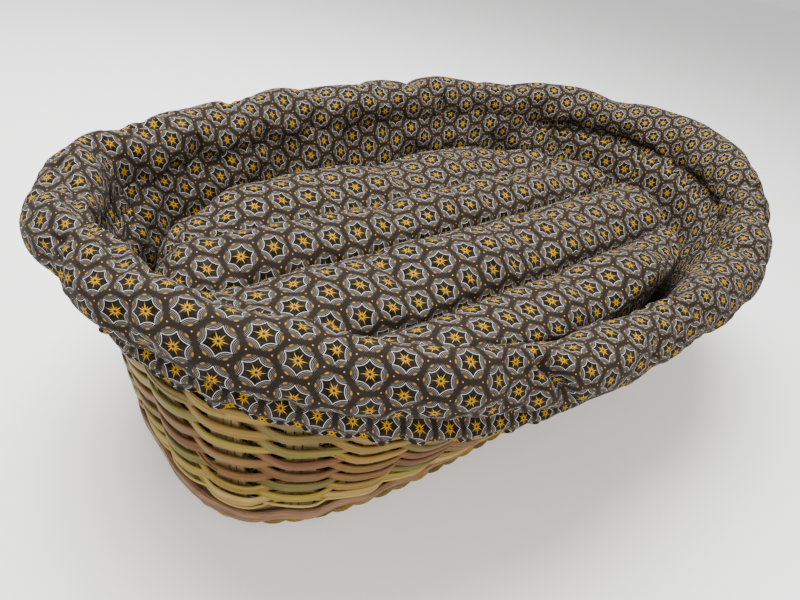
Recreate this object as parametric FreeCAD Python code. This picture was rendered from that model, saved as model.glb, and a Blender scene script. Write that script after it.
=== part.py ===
import FreeCAD, Part
import os
from bisect import bisect_right
from math import copysign, cos, pi, sin

# An oval pet bed: a basket of split cane, a padded fabric liner over its rim, and a loose cushion.
# Millimetres, +Z up, +X along the basket, origin on the floor under its middle.

Vector = FreeCAD.Vector

# Outlines, each a superellipse: half length, half width, squareness.
BASE = (289.0, 128.0, 3.4)
RIM = (318.0, 195.0, 2.4)
ROLL = (335.0, 204.5, 2.4)

# The wicker wall leans out from the base outline to the rim outline.
WALL_FOOT_Z = 20.0
WALL_TOP_Z = 164.0
# The handmade rim isn't level: how far it rises, as cosine and sine shares of its first waves.
RIM_WAVES = ((3.0, 7.5), (13.0, 5.0), (0.0, -5.0))
GAP = 0.4  # clearance between neighbouring pieces

# Stakes stand in groups of one wide strip and two narrow ones.
STAKE_GROUPS = 32
STAKE_PHASE = 0.82
GROUP_HALF_WIDTH = 12.0
STAKE_THICKNESS = 3.0
WIDE_STAKE = 10.0
NARROW_STAKE = 4.6
STAKE_FOOT_Z = 10.4

# Rows of flat cane woven in and out of the stake groups.
WEAVER_ROWS = 15
WEAVER_PITCH = 7.8
WEAVER_HEIGHT = 6.2
WEAVER_THICKNESS = 2.4
FIRST_WEAVER_Z = 34.6
TWINING_HEIGHT = 2.4
TWINING_THICKNESS = 2.0
TWINING_Z = (26.3, 29.5)

# Base.
FOOT_HEIGHT = 7.6
FOOT_OUTSIDE = 5.0
FOOT_INSIDE = 13.0
BAND_HEIGHT = 13.6
BAND_THICKNESS = 3.4
BAND_Z = 16.8
BASE_HOOP_HEIGHT = 10.0
BASE_HOOP_THICKNESS = 4.0
BASE_HOOP_Z = 14.6
BASE_STRIP_WIDTH = 13.0
BASE_STRIP_THICKNESS = 2.2
CROSS_STRIP_Z = 8.4
CROSS_STRIPS = 15
CROSS_STRIP_PITCH = 35.0
LONG_SLAT_Z = 11.0
LONG_SLATS = 11
LONG_SLAT_PITCH = 21.0
BASE_INSET = 10.5  # from the base outline to the ends of the base strips

# Rim.
HOOP_HEIGHT = 12.0
HOOP_THICKNESS = 5.0
HOOP_Z = 158.5
LASHING_WIDTH = 5.0
LASHING_THICKNESS = 1.2

# Fabric liner: a stuffed roll on the rim, a padded wall inside, a skirt outside.
STATIONS = 60
ROLL_Z = 199.0
ROLL_RADIUS = 24.5
ROLL_SWELL = 2.5  # the roll is this much thicker at its fullest place, and thinner opposite
ROLL_FULLEST = 0.16  # the share of the way round where it is fullest
ROLL_SIDES = 10
COVER_THICKNESS = 1.4
LINER_TOP_CLIMB = 1.06
LINER_FOOT_CLIMB = -0.01
WALL_LAYERS = (("wall_backing", 11.0, 1.2), ("wall_padding", 12.6, 5.6), ("wall_lining", 18.6, 1.4))
FLOOR_Z = 14.2
FLOOR_THICKNESS = 2.0
FLOOR_INSET = 21.0
SKIRT_OUTSIDE = 12.8
SKIRT_THICKNESS = 1.4
SKIRT_FOOT_Z = 150.0
SKIRT_HEAD_Z = 169.0
ELASTIC_RADIUS = 1.2
ELASTIC_SIDES = 6

# Loose cushion: height, half length, half width and squareness of each level.
CUSHION_LEVELS = (
    (18.0, 252.0, 92.0, 3.2),
    (26.0, 261.0, 101.0, 3.0),
    (62.0, 269.0, 119.0, 2.8),
    (94.0, 276.0, 136.0, 2.6),
    (122.0, 282.0, 150.0, 2.5),
    (140.0, 285.0, 156.0, 2.5),
    (152.0, 283.0, 150.0, 2.5),
    (158.0, 268.0, 133.0, 2.5),
)
CHANNEL_SEAMS_Y = (-90.0, 0.0, 67.0)
SEAM_THICKNESS = 3.0
CUSHION_COVER_THICKNESS = 1.8


def on_outline(shape, angle):
    half_length, half_width, squareness = shape
    power = 2.0 / squareness
    x = copysign(half_length * abs(cos(angle)) ** power, cos(angle))
    y = copysign(half_width * abs(sin(angle)) ** power, sin(angle))
    return Vector(x, y, 0)


def rim_rise(angle):
    rise = 0.0
    for wave, (cosine, sine) in enumerate(RIM_WAVES, 1):
        rise += cosine * cos(wave * angle) + sine * sin(wave * angle)
    return rise


def measured_outline(shape, steps=1440):
    """Points close together along an outline, and how far along it each one lies in plan."""
    points = []
    travel = [0.0]
    for step in range(steps + 1):
        angle = 2 * pi * step / steps
        point = on_outline(shape, angle)
        if step:
            travel.append(travel[-1] + (point - on_outline(shape, 2 * pi * (step - 1) / steps)).Length)
        points.append(point if shape == BASE else point + Vector(0, 0, rim_rise(angle)))
    return points, travel


OUTLINES = {shape: measured_outline(shape) for shape in (BASE, RIM, ROLL)}


def at_share(shape, share):
    """The point a share of the way round an outline, counter-clockwise from +X, with the rim's rise as z."""
    points, travel = OUTLINES[shape]
    target = (share % 1.0) * travel[-1]
    step = bisect_right(travel, target) - 1
    part_way = (target - travel[step]) / (travel[step + 1] - travel[step])
    return points[step] + (points[step + 1] - points[step]) * part_way


def tangent(shape, share):
    nearby = 0.004
    along = at_share(shape, share + nearby) - at_share(shape, share - nearby)
    along.z = 0
    return along.normalize()


def outward(shape, share):
    along = tangent(shape, share)
    return Vector(along.y, -along.x, 0)


def climb(height):
    """How far up the wall a height lies: 0 at the base outline, 1 at the rim outline."""
    return (height - WALL_FOOT_Z) / (WALL_TOP_Z - WALL_FOOT_Z)


def wall_line(share):
    """The wall's straight line at one share: its foot and its top."""
    foot = at_share(BASE, share) + Vector(0, 0, WALL_FOOT_Z)
    top = at_share(RIM, share) + Vector(0, 0, WALL_TOP_Z)
    return foot, top


def solid_from(corners, polygons):
    """A closed solid from its corner points and flat faces, each a tuple of corner numbers."""
    faces = []
    for polygon in polygons:
        faces.append(Part.Face(Part.makePolygon([corners[i] for i in polygon + polygon[:1]])))
    skin = Part.Compound(faces)
    skin.sewShape()
    solid = Part.Solid(skin.Shells[0])
    if solid.Volume < 0:
        solid.reverse()
    return solid


def ring(sections):
    """A closed ring through cross-sections with the same number of corners each."""
    sides = len(sections[0])
    corners = [corner for section in sections for corner in section]
    triangles = []
    for here in range(len(sections)):
        after = (here + 1) % len(sections)
        for side in range(sides):
            beside = (side + 1) % sides
            a, b = here * sides + side, here * sides + beside
            c, d = after * sides + beside, after * sides + side
            if side < sides / 2:  # opposite sides are split along matching diagonals
                triangles += [(a, b, c), (a, c, d)]
            else:
                triangles += [(a, b, d), (b, c, d)]
    return solid_from(corners, triangles)


def block(centre, width, thickness, height):
    """A block from its centre and the vectors along its three edges."""
    corners = []
    for u in (-0.5, 0.5):
        for v, w in ((-0.5, -0.5), (0.5, -0.5), (0.5, 0.5), (-0.5, 0.5)):
            corners.append(centre + width * u + thickness * v + height * w)
    quads = ((0, 1, 2, 3), (7, 6, 5, 4), (0, 4, 5, 1), (1, 5, 6, 2), (2, 6, 7, 3), (3, 7, 4, 0))
    return solid_from(corners, quads)


class StakeGroup:
    """Where one group of stakes stands: its line up the wall and its own directions."""

    def __init__(self, number):
        share = (number + STAKE_PHASE) / STAKE_GROUPS
        self.foot, self.top = wall_line(share)
        self.along = (tangent(BASE, share) + tangent(RIM, share)).normalize()
        rise = self.top - self.foot
        self.up = (rise - self.along * rise.dot(self.along)).normalize()
        self.out = self.along.cross(self.up)
        self.side = 1 if number % 2 else -1  # the wide strip stands left or right of the narrow ones

    def at(self, height):
        return self.foot + (self.top - self.foot) * climb(height)


GROUPS = [StakeGroup(number) for number in range(STAKE_GROUPS)]


def strip_ring(height_z, strip_height, thickness, passes):
    """A strip that runs round the wall, outside (+1) or inside (-1) each stake group."""
    sections = []
    for number, group in enumerate(GROUPS):
        near = STAKE_THICKNESS / 2 + GAP
        far = near + thickness
        for end in (-GROUP_HALF_WIDTH, GROUP_HALF_WIDTH):
            middle = group.at(height_z) + group.along * end
            section = []
            for out, up in ((near, -0.5), (far, -0.5), (far, 0.5), (near, 0.5)):
                section.append(middle + group.out * (out * passes(number)) + group.up * (up * strip_height))
            if passes(number) < 0:
                section = [section[1], section[0], section[3], section[2]]
            sections.append(section)
    return ring(sections)


def always_outside(number):
    return 1


def always_inside(number):
    return -1


def alternate_from(first):
    return lambda number: 1 if (number + first) % 2 else -1


def inset_outline(shape, inset, count):
    """Corner points of an outline moved inwards by inset."""
    points = []
    for station in range(count):
        share = station / count
        points.append(at_share(shape, share) - outward(shape, share) * inset)
    return points


def flat_plate(points, low_z, thickness):
    edge = Part.makePolygon([point + Vector(0, 0, low_z) for point in points + points[:1]])
    return Part.Face(edge).extrude(Vector(0, 0, thickness))


def foot_border():
    """The plaited border that the basket stands on, as one flat-bottomed ring."""
    outer = flat_plate(inset_outline(BASE, -FOOT_OUTSIDE, STATIONS), 0.0, FOOT_HEIGHT)
    inner = flat_plate(inset_outline(BASE, FOOT_INSIDE, STATIONS), 0.0, FOOT_HEIGHT)
    return outer.cut(inner)


def reach_at(offset, along_x):
    """How far a base strip reaches at a distance from the middle, inside the inset base outline."""
    half_length, half_width, squareness = BASE[0] - BASE_INSET, BASE[1] - BASE_INSET, BASE[2]
    across, reach = (half_width, half_length) if along_x else (half_length, half_width)
    edge = (abs(offset) + BASE_STRIP_WIDTH / 2) / across
    return reach * (1 - edge**squareness) ** (1 / squareness)


def base_strips(count, pitch, low_z, along_x):
    strips = []
    for number in range(count):
        offset = (number - (count - 1) / 2) * pitch
        reach = reach_at(offset, along_x)
        if along_x:
            size = (2 * reach, BASE_STRIP_WIDTH)
            corner = Vector(-reach, offset - BASE_STRIP_WIDTH / 2, low_z)
        else:
            size = (BASE_STRIP_WIDTH, 2 * reach)
            corner = Vector(offset - BASE_STRIP_WIDTH / 2, -reach, low_z)
        strips.append(Part.makeBox(size[0], size[1], BASE_STRIP_THICKNESS, corner))
    return Part.Compound(strips)


def stakes(widths_and_places):
    """Upright strips in every group, each given by its width and its place along the group."""
    bars = []
    for group in GROUPS:
        low = group.at(STAKE_FOOT_Z)
        length = group.top - low
        for width, place in widths_and_places:
            centre = low + length * 0.5 + group.along * (place * group.side)
            bars.append(block(centre, group.along * width, group.out * STAKE_THICKNESS, length))
    return Part.Compound(bars)


def rim_lashing():
    """Cane loops round both rim hoops, one between each pair of stake groups."""
    loops = []
    reach = STAKE_THICKNESS / 2 + GAP + HOOP_THICKNESS + GAP
    for group, following in zip(GROUPS, GROUPS[1:] + GROUPS[:1]):
        start = group.at(HOOP_Z) + group.along * GROUP_HALF_WIDTH
        end = following.at(HOOP_Z) - following.along * GROUP_HALF_WIDTH
        along = (end - start).normalize()
        up = group.up + following.up
        up = (up - along * up.dot(along)).normalize()
        out = along.cross(up)
        depth = 2 * reach
        height = HOOP_HEIGHT + 2 * GAP
        skin = 2 * LASHING_THICKNESS
        centre = (start + end) / 2
        whole = block(centre, along * LASHING_WIDTH, out * (depth + skin), up * (height + skin))
        inside = block(centre, along * (2 * LASHING_WIDTH), out * depth, up * height)
        loops.append(whole.cut(inside))
    return Part.Compound(loops)


def roll(depth):
    """The stuffed roll that lies on the rim, a closed ring of round section, made thinner by depth."""
    sections = []
    for station in range(STATIONS):
        share = station / STATIONS
        centre = at_share(ROLL, share) + Vector(0, 0, ROLL_Z)
        out = outward(ROLL, share)
        radius = ROLL_RADIUS + ROLL_SWELL * cos(2 * pi * (share - ROLL_FULLEST)) - depth
        section = []
        for side in range(ROLL_SIDES):
            angle = 2 * pi * (side + 0.5) / ROLL_SIDES
            section.append(centre + out * (radius * cos(angle)) + Vector(0, 0, radius * sin(angle)))
        sections.append(section)
    return ring(sections)


def wall_layer(inset, thickness):
    """One layer of the liner's inner wall, set in from the wicker wall's middle."""
    sections = []
    for station in range(STATIONS):
        share = station / STATIONS
        foot, top = wall_line(share)
        section = []
        for rise, depth in (
            (LINER_FOOT_CLIMB, inset),
            (LINER_FOOT_CLIMB, inset + thickness),
            (LINER_TOP_CLIMB, inset + thickness),
            (LINER_TOP_CLIMB, inset),
        ):
            inwards = outward(BASE, share) * (1 - rise) + outward(RIM, share) * rise
            section.append(foot + (top - foot) * rise - inwards.normalize() * depth)
        sections.append(section)
    return ring(sections)


def skirt():
    """The skirt that hangs outside the rim, under the roll."""
    sections = []
    for station in range(STATIONS):
        share = station / STATIONS
        rim = at_share(RIM, share)
        out = outward(RIM, share)
        section = []
        for height, offset in (
            (SKIRT_FOOT_Z, SKIRT_OUTSIDE),
            (SKIRT_FOOT_Z, SKIRT_OUTSIDE + SKIRT_THICKNESS),
            (SKIRT_HEAD_Z, SKIRT_OUTSIDE + SKIRT_THICKNESS),
            (SKIRT_HEAD_Z, SKIRT_OUTSIDE),
        ):
            section.append(rim + out * offset + Vector(0, 0, height))
        sections.append(section)
    return ring(sections)


def hem_elastic():
    """The elastic cord in the skirt's hem."""
    sections = []
    for station in range(STATIONS):
        share = station / STATIONS
        out = outward(RIM, share)
        centre = at_share(RIM, share) + out * (SKIRT_OUTSIDE - GAP - ELASTIC_RADIUS)
        centre.z += SKIRT_FOOT_Z + 2 * ELASTIC_RADIUS
        section = []
        for side in range(ELASTIC_SIDES):
            angle = 2 * pi * side / ELASTIC_SIDES
            section.append(
                centre + out * (ELASTIC_RADIUS * cos(angle)) + Vector(0, 0, ELASTIC_RADIUS * sin(angle))
            )
        sections.append(section)
    return ring(sections)


def cushion_block(shrink):
    """The cushion's outer form, made smaller all round by shrink."""
    corners = []
    top_z = CUSHION_LEVELS[-1][0]
    for height, half_length, half_width, squareness in CUSHION_LEVELS:
        middle_z = (CUSHION_LEVELS[0][0] + top_z) / 2
        height -= copysign(shrink, height - middle_z) if height in (CUSHION_LEVELS[0][0], top_z) else 0
        shape = (half_length - shrink, half_width - shrink, squareness)
        for station in range(STATIONS):
            corner = on_outline(shape, 2 * pi * station / STATIONS)
            corner.z = height
            corners.append(corner)
    triangles = []
    for level in range(len(CUSHION_LEVELS) - 1):
        for station in range(STATIONS):
            beside = (station + 1) % STATIONS
            a, b = level * STATIONS + station, level * STATIONS + beside
            c, d = a + STATIONS, b + STATIONS
            triangles += [(a, b, d), (a, d, c)]
    for first in (0, (len(CUSHION_LEVELS) - 1) * STATIONS):
        for station in range(1, STATIONS - 1):
            triangles.append((first, first + station, first + station + 1))
    return solid_from(corners, triangles).removeSplitter()


def without_seams(block, thickness):
    """A block parted into the cushion's channels."""
    half_length = max(level[1] for level in CUSHION_LEVELS)
    half_width = max(level[2] for level in CUSHION_LEVELS)
    edges = [-half_width] + list(CHANNEL_SEAMS_Y) + [half_width]
    height = CUSHION_LEVELS[-1][0]
    channels = []
    for low, high in zip(edges, edges[1:]):
        low += thickness / 2
        high -= thickness / 2
        stretch = Part.makeBox(2 * half_length, high - low, height, Vector(-half_length, low, 0))
        channels.append(block.common(stretch).Solids[0])
    return Part.Compound(channels)


def cushion_cover():
    """The sewn cover: its skin and the seams between its four channels."""
    hollow = without_seams(cushion_block(CUSHION_COVER_THICKNESS), SEAM_THICKNESS)
    return cushion_block(0.0).cut(hollow)


def cushion_filling():
    """The stuffing, one length in each channel."""
    shrink = CUSHION_COVER_THICKNESS + GAP
    return without_seams(cushion_block(shrink), SEAM_THICKNESS + 2 * GAP)


def build():
    parts = {
        "foot_border": foot_border(),
        "base_cross_strips": base_strips(CROSS_STRIPS, CROSS_STRIP_PITCH, CROSS_STRIP_Z, False),
        "base_long_slats": base_strips(LONG_SLATS, LONG_SLAT_PITCH, LONG_SLAT_Z, True),
        "base_hoop": strip_ring(BASE_HOOP_Z, BASE_HOOP_HEIGHT, BASE_HOOP_THICKNESS, always_inside),
        "base_band": strip_ring(BAND_Z, BAND_HEIGHT, BAND_THICKNESS, always_outside),
        "wide_stakes": stakes(((WIDE_STAKE, -5.6),)),
        "narrow_stakes": stakes(((NARROW_STAKE, 2.4), (NARROW_STAKE, 7.8))),
        "rim_hoop_outer": strip_ring(HOOP_Z, HOOP_HEIGHT, HOOP_THICKNESS, always_outside),
        "rim_hoop_inner": strip_ring(HOOP_Z, HOOP_HEIGHT, HOOP_THICKNESS, always_inside),
        "rim_lashing": rim_lashing(),
    }
    for number, height in enumerate(TWINING_Z):
        passes = alternate_from(number)
        parts[f"twining_{number + 1}"] = strip_ring(height, TWINING_HEIGHT, TWINING_THICKNESS, passes)
    for row in range(WEAVER_ROWS):
        height = FIRST_WEAVER_Z + row * WEAVER_PITCH
        passes = alternate_from(row)
        parts[f"weaver_{row + 1:02d}"] = strip_ring(height, WEAVER_HEIGHT, WEAVER_THICKNESS, passes)
    parts["bolster_cover"] = roll(0.0).cut(roll(COVER_THICKNESS))
    parts["bolster_filling"] = roll(COVER_THICKNESS + GAP)
    for name, inset, thickness in WALL_LAYERS:
        parts[name] = wall_layer(inset, thickness)
    floor_outline = inset_outline(BASE, FLOOR_INSET, STATIONS)
    parts["floor_lining"] = flat_plate(floor_outline, FLOOR_Z, FLOOR_THICKNESS)
    parts["skirt"] = skirt()
    parts["hem_elastic"] = hem_elastic()
    parts["cushion_cover"] = cushion_cover()
    parts["cushion_filling"] = cushion_filling()
    return parts


os.makedirs("parts", exist_ok=True)
for node, shape in build().items():
    shape.exportStep(f"parts/{node}.step")
    print(node, shape.isValid(), len(shape.Solids), round(shape.Volume / 1000.0, 1), "cm3")
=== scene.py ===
import math

import bpy
import numpy as np
from mathutils import Matrix, Vector


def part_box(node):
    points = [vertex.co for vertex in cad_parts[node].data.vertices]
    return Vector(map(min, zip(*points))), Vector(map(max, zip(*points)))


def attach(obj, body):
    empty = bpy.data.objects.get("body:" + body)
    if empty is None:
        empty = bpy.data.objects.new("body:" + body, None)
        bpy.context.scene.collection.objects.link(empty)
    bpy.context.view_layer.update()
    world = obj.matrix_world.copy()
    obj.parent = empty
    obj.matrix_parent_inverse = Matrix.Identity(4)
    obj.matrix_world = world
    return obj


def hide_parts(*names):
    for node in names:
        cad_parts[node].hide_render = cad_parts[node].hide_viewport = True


# An oval wicker pet bed: woven canes, a padded printed liner and a channelled cushion. Metres, +Z up.

RNG = np.random.default_rng(11)
UP = np.array([0.0, 0.0, 1.0])
PRINT_PITCH = 0.0245  # from star to star in the print


def new_object(name, data):
    made = bpy.data.objects.new(name, data)
    bpy.context.scene.collection.objects.link(made)
    return made


def make_camera():
    """The camera of the photo, from a fit of the bed's outlines."""
    data = bpy.data.cameras.new("camera")
    data.lens, data.sensor_width = 28.44, 36.0
    data.shift_x, data.shift_y = 0.0205, 0.0052
    camera = new_object("camera", data)
    right = Vector((0.7653, -0.6232, 0.1610))
    up = Vector((0.2557, 0.5240, 0.8124))
    back = Vector((-0.5907, -0.5806, 0.5604))
    turn = Matrix((right, up, back)).transposed().to_quaternion().normalized()
    camera.rotation_mode = "QUATERNION"
    camera.rotation_quaternion = turn
    camera.location = (-0.4264, -0.3416, 0.4209)
    bpy.context.scene.camera = camera


make_camera()
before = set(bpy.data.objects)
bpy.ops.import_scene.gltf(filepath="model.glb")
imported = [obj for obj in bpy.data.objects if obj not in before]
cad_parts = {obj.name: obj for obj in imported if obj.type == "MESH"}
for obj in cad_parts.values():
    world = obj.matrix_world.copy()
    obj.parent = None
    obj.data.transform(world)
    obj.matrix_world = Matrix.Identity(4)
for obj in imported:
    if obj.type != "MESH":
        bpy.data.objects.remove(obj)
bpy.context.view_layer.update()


# -------- reading the CAD frame


def corner_points(node):
    """The CAD node's vertices, each place once."""
    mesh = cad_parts[node].data
    points = np.empty(len(mesh.vertices) * 3, np.float32)
    mesh.vertices.foreach_get("co", points)
    return np.unique(points.reshape(-1, 3).astype(float).round(5), axis=0)


def stations(points, per):
    """The corners of a CAD ring, grouped by cross-section and ordered counter-clockwise from +X."""
    angle = np.arctan2(points[:, 1], points[:, 0])
    points = points[np.argsort(angle)]
    angle = np.sort(angle)
    gaps = np.diff(np.append(angle, angle[0] + 2 * math.pi))
    points = np.roll(points, -(int(np.argmax(gaps)) + 1), axis=0)
    sections = points.reshape(-1, per, 3)
    middle = sections.mean(1)
    order = np.argsort(np.arctan2(middle[:, 1], middle[:, 0] + 1e-9) % (2 * math.pi - 1e-3))
    return sections[order]


def unit(vectors):
    return vectors / np.linalg.norm(vectors, axis=-1, keepdims=True)


def by_height(sections):
    """Each cross-section's corners, the lowest first."""
    return np.take_along_axis(sections, np.argsort(sections[:, :, 2], axis=1)[:, :, None], 1)


def by_reach(sections):
    """Each cross-section's corners, the innermost first."""
    reach = np.linalg.norm(sections[:, :, :2], axis=2)
    return np.take_along_axis(sections, np.argsort(reach, axis=1)[:, :, None], 1)


def section_frames(sections):
    """Centre, upward and outward edge vectors of four-cornered cross-sections."""
    corners = by_height(sections)
    low, high = by_reach(corners[:, :2]), corners[:, 2:]
    return sections.mean(1), high.mean(1) - low.mean(1), low[:, 1] - low[:, 0]


def closed_spline(points, count):
    """Evenly spaced values along a smooth closed curve through points."""
    total = len(points)
    place = np.arange(count) * total / count
    step = place.astype(int)
    part = (place - step).reshape(-1, *([1] * (points.ndim - 1)))
    before, here, after, beyond = (points[(step + shift) % total] for shift in (-1, 0, 1, 2))
    return 0.5 * (
        2 * here
        + (after - before) * part
        + (2 * before - 5 * here + 4 * after - beyond) * part**2
        + (3 * here - before - 3 * after + beyond) * part**3
    )


def running(steps):
    """The running total of steps, from 0."""
    return np.concatenate([[0], np.cumsum(steps)])


def arc_lengths(points):
    return running(np.linalg.norm(np.diff(points, axis=0), axis=-1))


def ring_steps(points):
    """The distance from each point of a ring to the next."""
    return np.linalg.norm(np.roll(points, -1, 0) - points, axis=-1)


def soft_step(value, low, high):
    share = np.clip((value - low) / (high - low), 0, 1)
    return share * share * (3 - 2 * share)


def ripple(phase, waves, seed):
    """Smooth noise round a ring, about -1 to 1, from a few cosine waves."""
    rng = np.random.default_rng(seed)
    total = np.zeros_like(phase)
    for wave in waves:
        total += rng.uniform(0.5, 1.0) * np.cos(2 * math.pi * (wave * phase + rng.uniform()))
    return total / math.sqrt(len(waves))


# -------- meshes


def mesh_object(name, points, faces, uvs=None, tints=None):
    """A smooth mesh from points and quads; uvs has one pair per face corner, tints one colour per point."""
    mesh = bpy.data.meshes.new(name)
    mesh.from_pydata([tuple(p) for p in points], [], [tuple(int(i) for i in f) for f in faces])
    if uvs is not None:
        layer = mesh.uv_layers.new(name="cloth")
        layer.data.foreach_set("uv", np.asarray(uvs, np.float32).ravel())
    if tints is not None:
        colours = np.ones((len(points), 4), np.float32)
        colours[:, :3] = tints
        layer = mesh.color_attributes.new("tint", "FLOAT_COLOR", "POINT")
        layer.data.foreach_set("color", colours.ravel())
    mesh.validate()
    mesh.polygons.foreach_set("use_smooth", [True] * len(mesh.polygons))
    return new_object(name, mesh)


def points_of(made):
    return np.array([v.co for v in made.data.vertices])


def move_points(made, points):
    made.data.vertices.foreach_set("co", points.astype(np.float32).ravel())
    made.data.update()


class Strips:
    """Collects many strips of cane and makes one mesh of them."""

    def __init__(self):
        self.points, self.faces, self.uvs, self.tints = [], [], [], []
        self.count = 0

    def add(self, centre, up, out, width, thickness, profile, tint, closed=False, start=0.0):
        """One strip along centre; width lies along up and thickness along out."""
        profile = np.asarray(profile, float)
        rings, sides = len(centre), len(profile)
        width = np.broadcast_to(width, rings)
        thickness = np.broadcast_to(thickness, rings)
        across = profile[None, :, 0, None] * width[:, None, None] * unit(up)[:, None, :]
        through = profile[None, :, 1, None] * thickness[:, None, None] * unit(out)[:, None, :]
        points = centre[:, None, :] + across + through
        along = start + arc_lengths(centre)
        girth = arc_lengths(np.vstack([profile, profile[:1]]) * [width.max(), thickness.max()])
        last = rings if closed else rings - 1
        for ring in range(last):
            after = (ring + 1) % rings
            far = along[ring + 1] if ring + 1 < rings else along[ring] + np.diff(along).mean()
            for side in range(sides):
                beside = (side + 1) % sides
                a, b = ring * sides + side, ring * sides + beside
                c, d = after * sides + beside, after * sides + side
                self.faces.append([self.count + i for i in (a, d, c, b)])
                for u, v in ((along[ring], side), (far, side), (far, side + 1), (along[ring], side + 1)):
                    self.uvs.append((u, girth[v]))
        if not closed:
            for ring, order in ((0, 1), (rings - 1, -1)):
                cap = [self.count + ring * sides + side for side in range(sides)][::order]
                self.faces.append(cap)
                self.uvs += [(along[ring], girth[side]) for side in range(sides)][::order]
        self.points.append(points.reshape(-1, 3))
        self.tints.append(np.broadcast_to(np.asarray(tint, float), (rings * sides, 3)))
        self.count += rings * sides

    def make(self, name):
        return mesh_object(name, np.vstack(self.points), self.faces, self.uvs, np.vstack(self.tints))


FLAT = [(-0.5, -0.28), (-0.485, 0.26), (-0.42, 0.42), (0, 0.5), (0.42, 0.42), (0.485, 0.26), (0.5, -0.28),
        (0.4, -0.5), (-0.4, -0.5)]
ROUND = [(0.5 * math.cos(a), 0.5 * math.sin(a)) for a in np.linspace(0, 2 * math.pi, 9)[:-1]]


# -------- materials


class Graph:
    """Short names for building a node material."""

    def __init__(self, name):
        self.material = bpy.data.materials.new(name)
        self.material.use_nodes = True
        self.tree = self.material.node_tree
        self.shader = self.tree.nodes["Principled BSDF"]

    def node(self, kind, **settings):
        made = self.tree.nodes.new(kind)
        for key, value in settings.items():
            setattr(made, key, value)
        return made

    def join(self, value, socket):
        if isinstance(value, bpy.types.NodeSocket):
            self.tree.links.new(value, socket)
        else:
            socket.default_value = value

    def math(self, operation, *values, clamp=False):
        made = self.node("ShaderNodeMath", operation=operation, use_clamp=clamp)
        for value, socket in zip(values, made.inputs):
            self.join(value, socket)
        return made.outputs[0]

    def add(self, a, b):
        return self.math("ADD", a, b)

    def sub(self, a, b):
        return self.math("SUBTRACT", a, b)

    def mul(self, a, b):
        return self.math("MULTIPLY", a, b)

    def div(self, a, b):
        return self.math("DIVIDE", a, b)

    def hypot(self, a, b):
        return self.math("SQRT", self.add(self.mul(a, a), self.mul(b, b)))

    def below(self, value, limit, edge):
        """1 where value is under limit, fading to 0 over edge."""
        return self.math("DIVIDE", self.sub(limit, value), edge, clamp=True)

    def band(self, value, middle, half, edge):
        return self.below(self.math("ABSOLUTE", self.sub(value, middle)), half, edge)

    def blend(self, share, a, b, mode="MIX"):
        made = self.node("ShaderNodeMix", data_type="RGBA", blend_type=mode)
        self.join(share, made.inputs[0])
        self.join(colour(a), made.inputs[6])
        self.join(colour(b), made.inputs[7])
        return made.outputs[2]

    def noise(self, vector, scale, detail=3.0, roughness=0.5):
        """Noise of one scale, or of a scale per axis."""
        if isinstance(scale, tuple):
            vector, scale = self.scaled(vector, scale), 1.0
        made = self.node("ShaderNodeTexNoise")
        self.join(vector, made.inputs["Vector"])
        made.inputs["Scale"].default_value = scale
        made.inputs["Detail"].default_value = detail
        made.inputs["Roughness"].default_value = roughness
        return made.outputs["Fac"]

    def scaled(self, vector, factors):
        made = self.node("ShaderNodeVectorMath", operation="MULTIPLY")
        self.join(vector, made.inputs[0])
        made.inputs[1].default_value = factors
        return made.outputs[0]

    def ramp(self, value, low, high):
        made = self.node("ShaderNodeMapRange", clamp=True)
        self.join(value, made.inputs[0])
        made.inputs[1].default_value = low
        made.inputs[2].default_value = high
        return made.outputs[0]

    def bump(self, height, strength, distance):
        made = self.node("ShaderNodeBump")
        made.inputs["Strength"].default_value = strength
        made.inputs["Distance"].default_value = distance
        self.join(height, made.inputs["Height"])
        self.join(made.outputs[0], self.shader.inputs["Normal"])

    def set(self, **values):
        """Values or links for the shader's inputs, by their names with _ for each space."""
        for key, value in values.items():
            self.join(value, self.shader.inputs[key.replace("_", " ")])


def colour(value):
    if isinstance(value, tuple) and len(value) == 3:
        return (*value, 1.0)
    return value


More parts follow.
